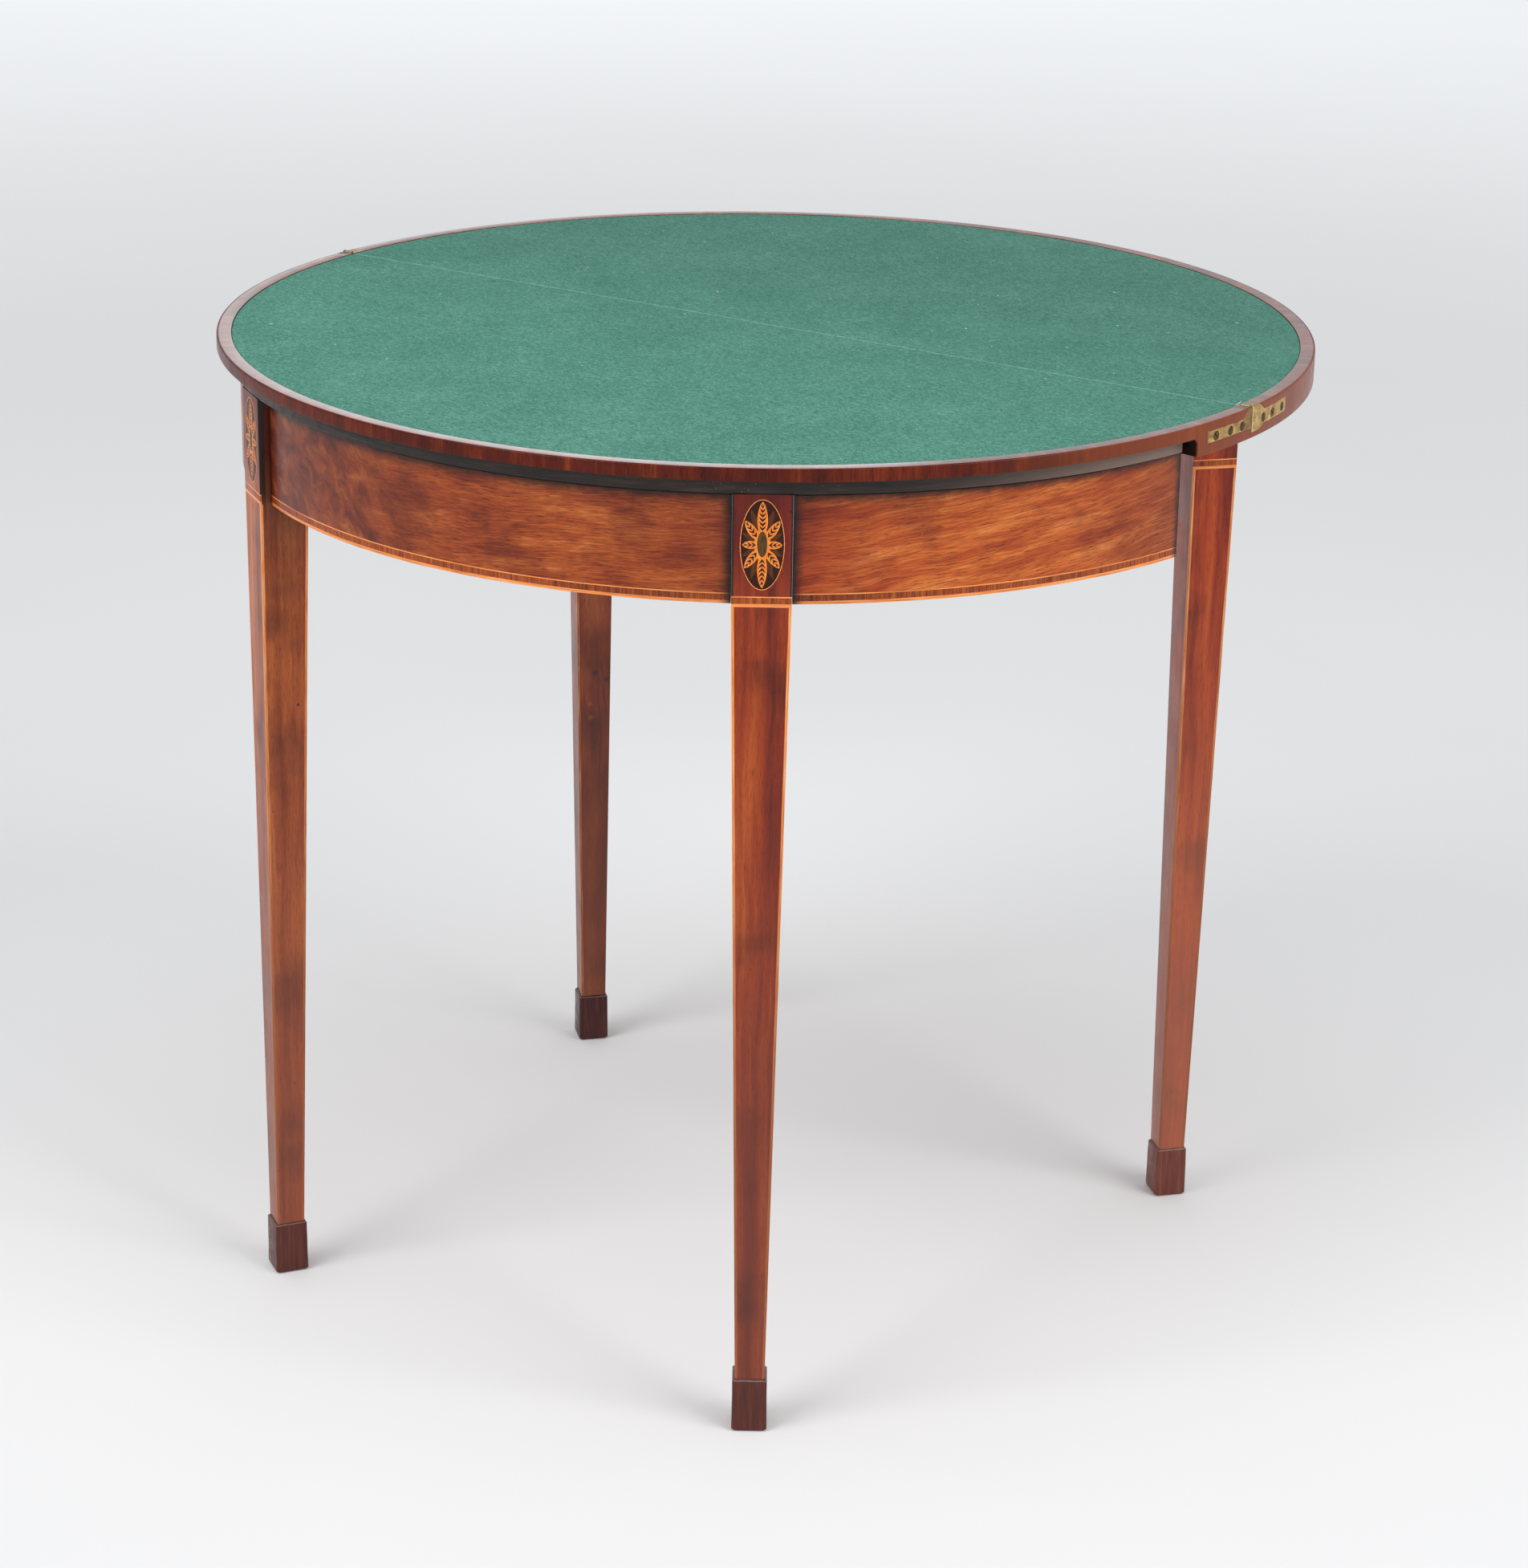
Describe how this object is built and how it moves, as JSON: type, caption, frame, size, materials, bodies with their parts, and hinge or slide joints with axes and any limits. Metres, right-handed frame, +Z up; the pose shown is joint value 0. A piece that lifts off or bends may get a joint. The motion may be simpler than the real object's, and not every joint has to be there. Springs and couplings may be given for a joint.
{
  "type": "demilune card table",
  "caption": "Half-round inlaid mahogany card table whose hinged flap folds back to a full baize-lined circle, carried on swing-out gate legs.",
  "frame": {"origin": "on the floor, under the middle of the open round top", "axes": "+X along the fold line to the right seen from the front, -Y towards the curved front frieze, +Z up"},
  "size_m": [0.86, 0.86, 0.7539],
  "materials": {
    "mahogany": "french polished, worn satin",
    "flame_mahogany": "figured veneer, polished",
    "crossbanding": "cross-grained veneer, polished",
    "boxwood": "inlaid lines, polished",
    "satinwood": "marquetry, polished",
    "ebonised": "black stained, satin",
    "dark_mahogany": "dark stained, satin",
    "baize": "fulled wool cloth",
    "brass": "old, dull",
    "steel": "darkened",
    "pine": "bare, aged",
    "beech": "bare, aged"
  },
  "bodies": {
    "frame": {"fixed_leaf": "mahogany", "fixed_leaf_lipping": "crossbanding", "fixed_leaf_border": "crossbanding", "fixed_leaf_baize": "baize", "ebonised_strip": "ebonised", "hinge_left_fixed_plate": "brass", "hinge_left_fixed_screw_1": "steel", "hinge_left_fixed_screw_2": "steel", "hinge_left_fixed_screw_3": "steel", "hinge_left_pin": "steel", "hinge_right_fixed_plate": "brass", "hinge_right_fixed_screw_1": "steel", "hinge_right_fixed_screw_2": "steel", "hinge_right_fixed_screw_3": "steel", "hinge_right_pin": "steel", "frieze_left_core": "pine", "frieze_front_core": "pine", "frieze_right_core": "pine", "frieze_left_veneer": "flame_mahogany", "frieze_front_veneer": "flame_mahogany", "frieze_right_veneer": "flame_mahogany", "frieze_left_banding": "crossbanding", "frieze_front_banding": "crossbanding", "frieze_right_banding": "crossbanding", "back_rail": "pine", "hinge_rail": "beech", "gate_pin_left": "steel", "gate_pin_right": "steel", "top_screw_1": "steel", "top_screw_2": "steel", "top_screw_3": "steel", "top_screw_4": "steel", "front_leg_left": "mahogany", "front_leg_left_stringing": "boxwood", "front_foot_left": "dark_mahogany", "patera_left": "satinwood", "front_leg_right": "mahogany", "front_leg_right_stringing": "boxwood", "front_foot_right": "dark_mahogany", "patera_right": "satinwood"},
    "flap": {"flap_leaf": "mahogany", "flap_lipping": "crossbanding", "flap_border": "crossbanding", "flap_baize": "baize", "hinge_left_flap_plate": "brass", "hinge_left_flap_screw_1": "steel", "hinge_left_flap_screw_2": "steel", "hinge_left_flap_screw_3": "steel", "hinge_right_flap_plate": "brass", "hinge_right_flap_screw_1": "steel", "hinge_right_flap_screw_2": "steel", "hinge_right_flap_screw_3": "steel"},
    "gate_left": {"fly_rail_left": "beech", "fly_leg_left": "mahogany", "fly_leg_left_stringing": "boxwood", "fly_foot_left": "dark_mahogany"},
    "gate_right": {"fly_rail_right": "beech", "fly_leg_right": "mahogany", "fly_leg_right_stringing": "boxwood", "fly_foot_right": "dark_mahogany"}
  },
  "joints": [
    {"name": "flap_fold", "type": "hinge", "parent": "frame", "child": "flap", "pos_m": [0, 0, 0.75265], "axis": [1, 0, 0], "range_deg": [0, 180]},
    {"name": "gate_left_swing", "type": "hinge", "parent": "frame", "child": "gate_left", "pos_m": [-0.06, -0.0525, 0.69], "axis": [0, 0, -1], "range_deg": [-42.9, 17.1]},
    {"name": "gate_right_swing", "type": "hinge", "parent": "frame", "child": "gate_right", "pos_m": [0.06, -0.0525, 0.69], "axis": [0, 0, 1], "range_deg": [-47.6, 12.4]}
  ]
}
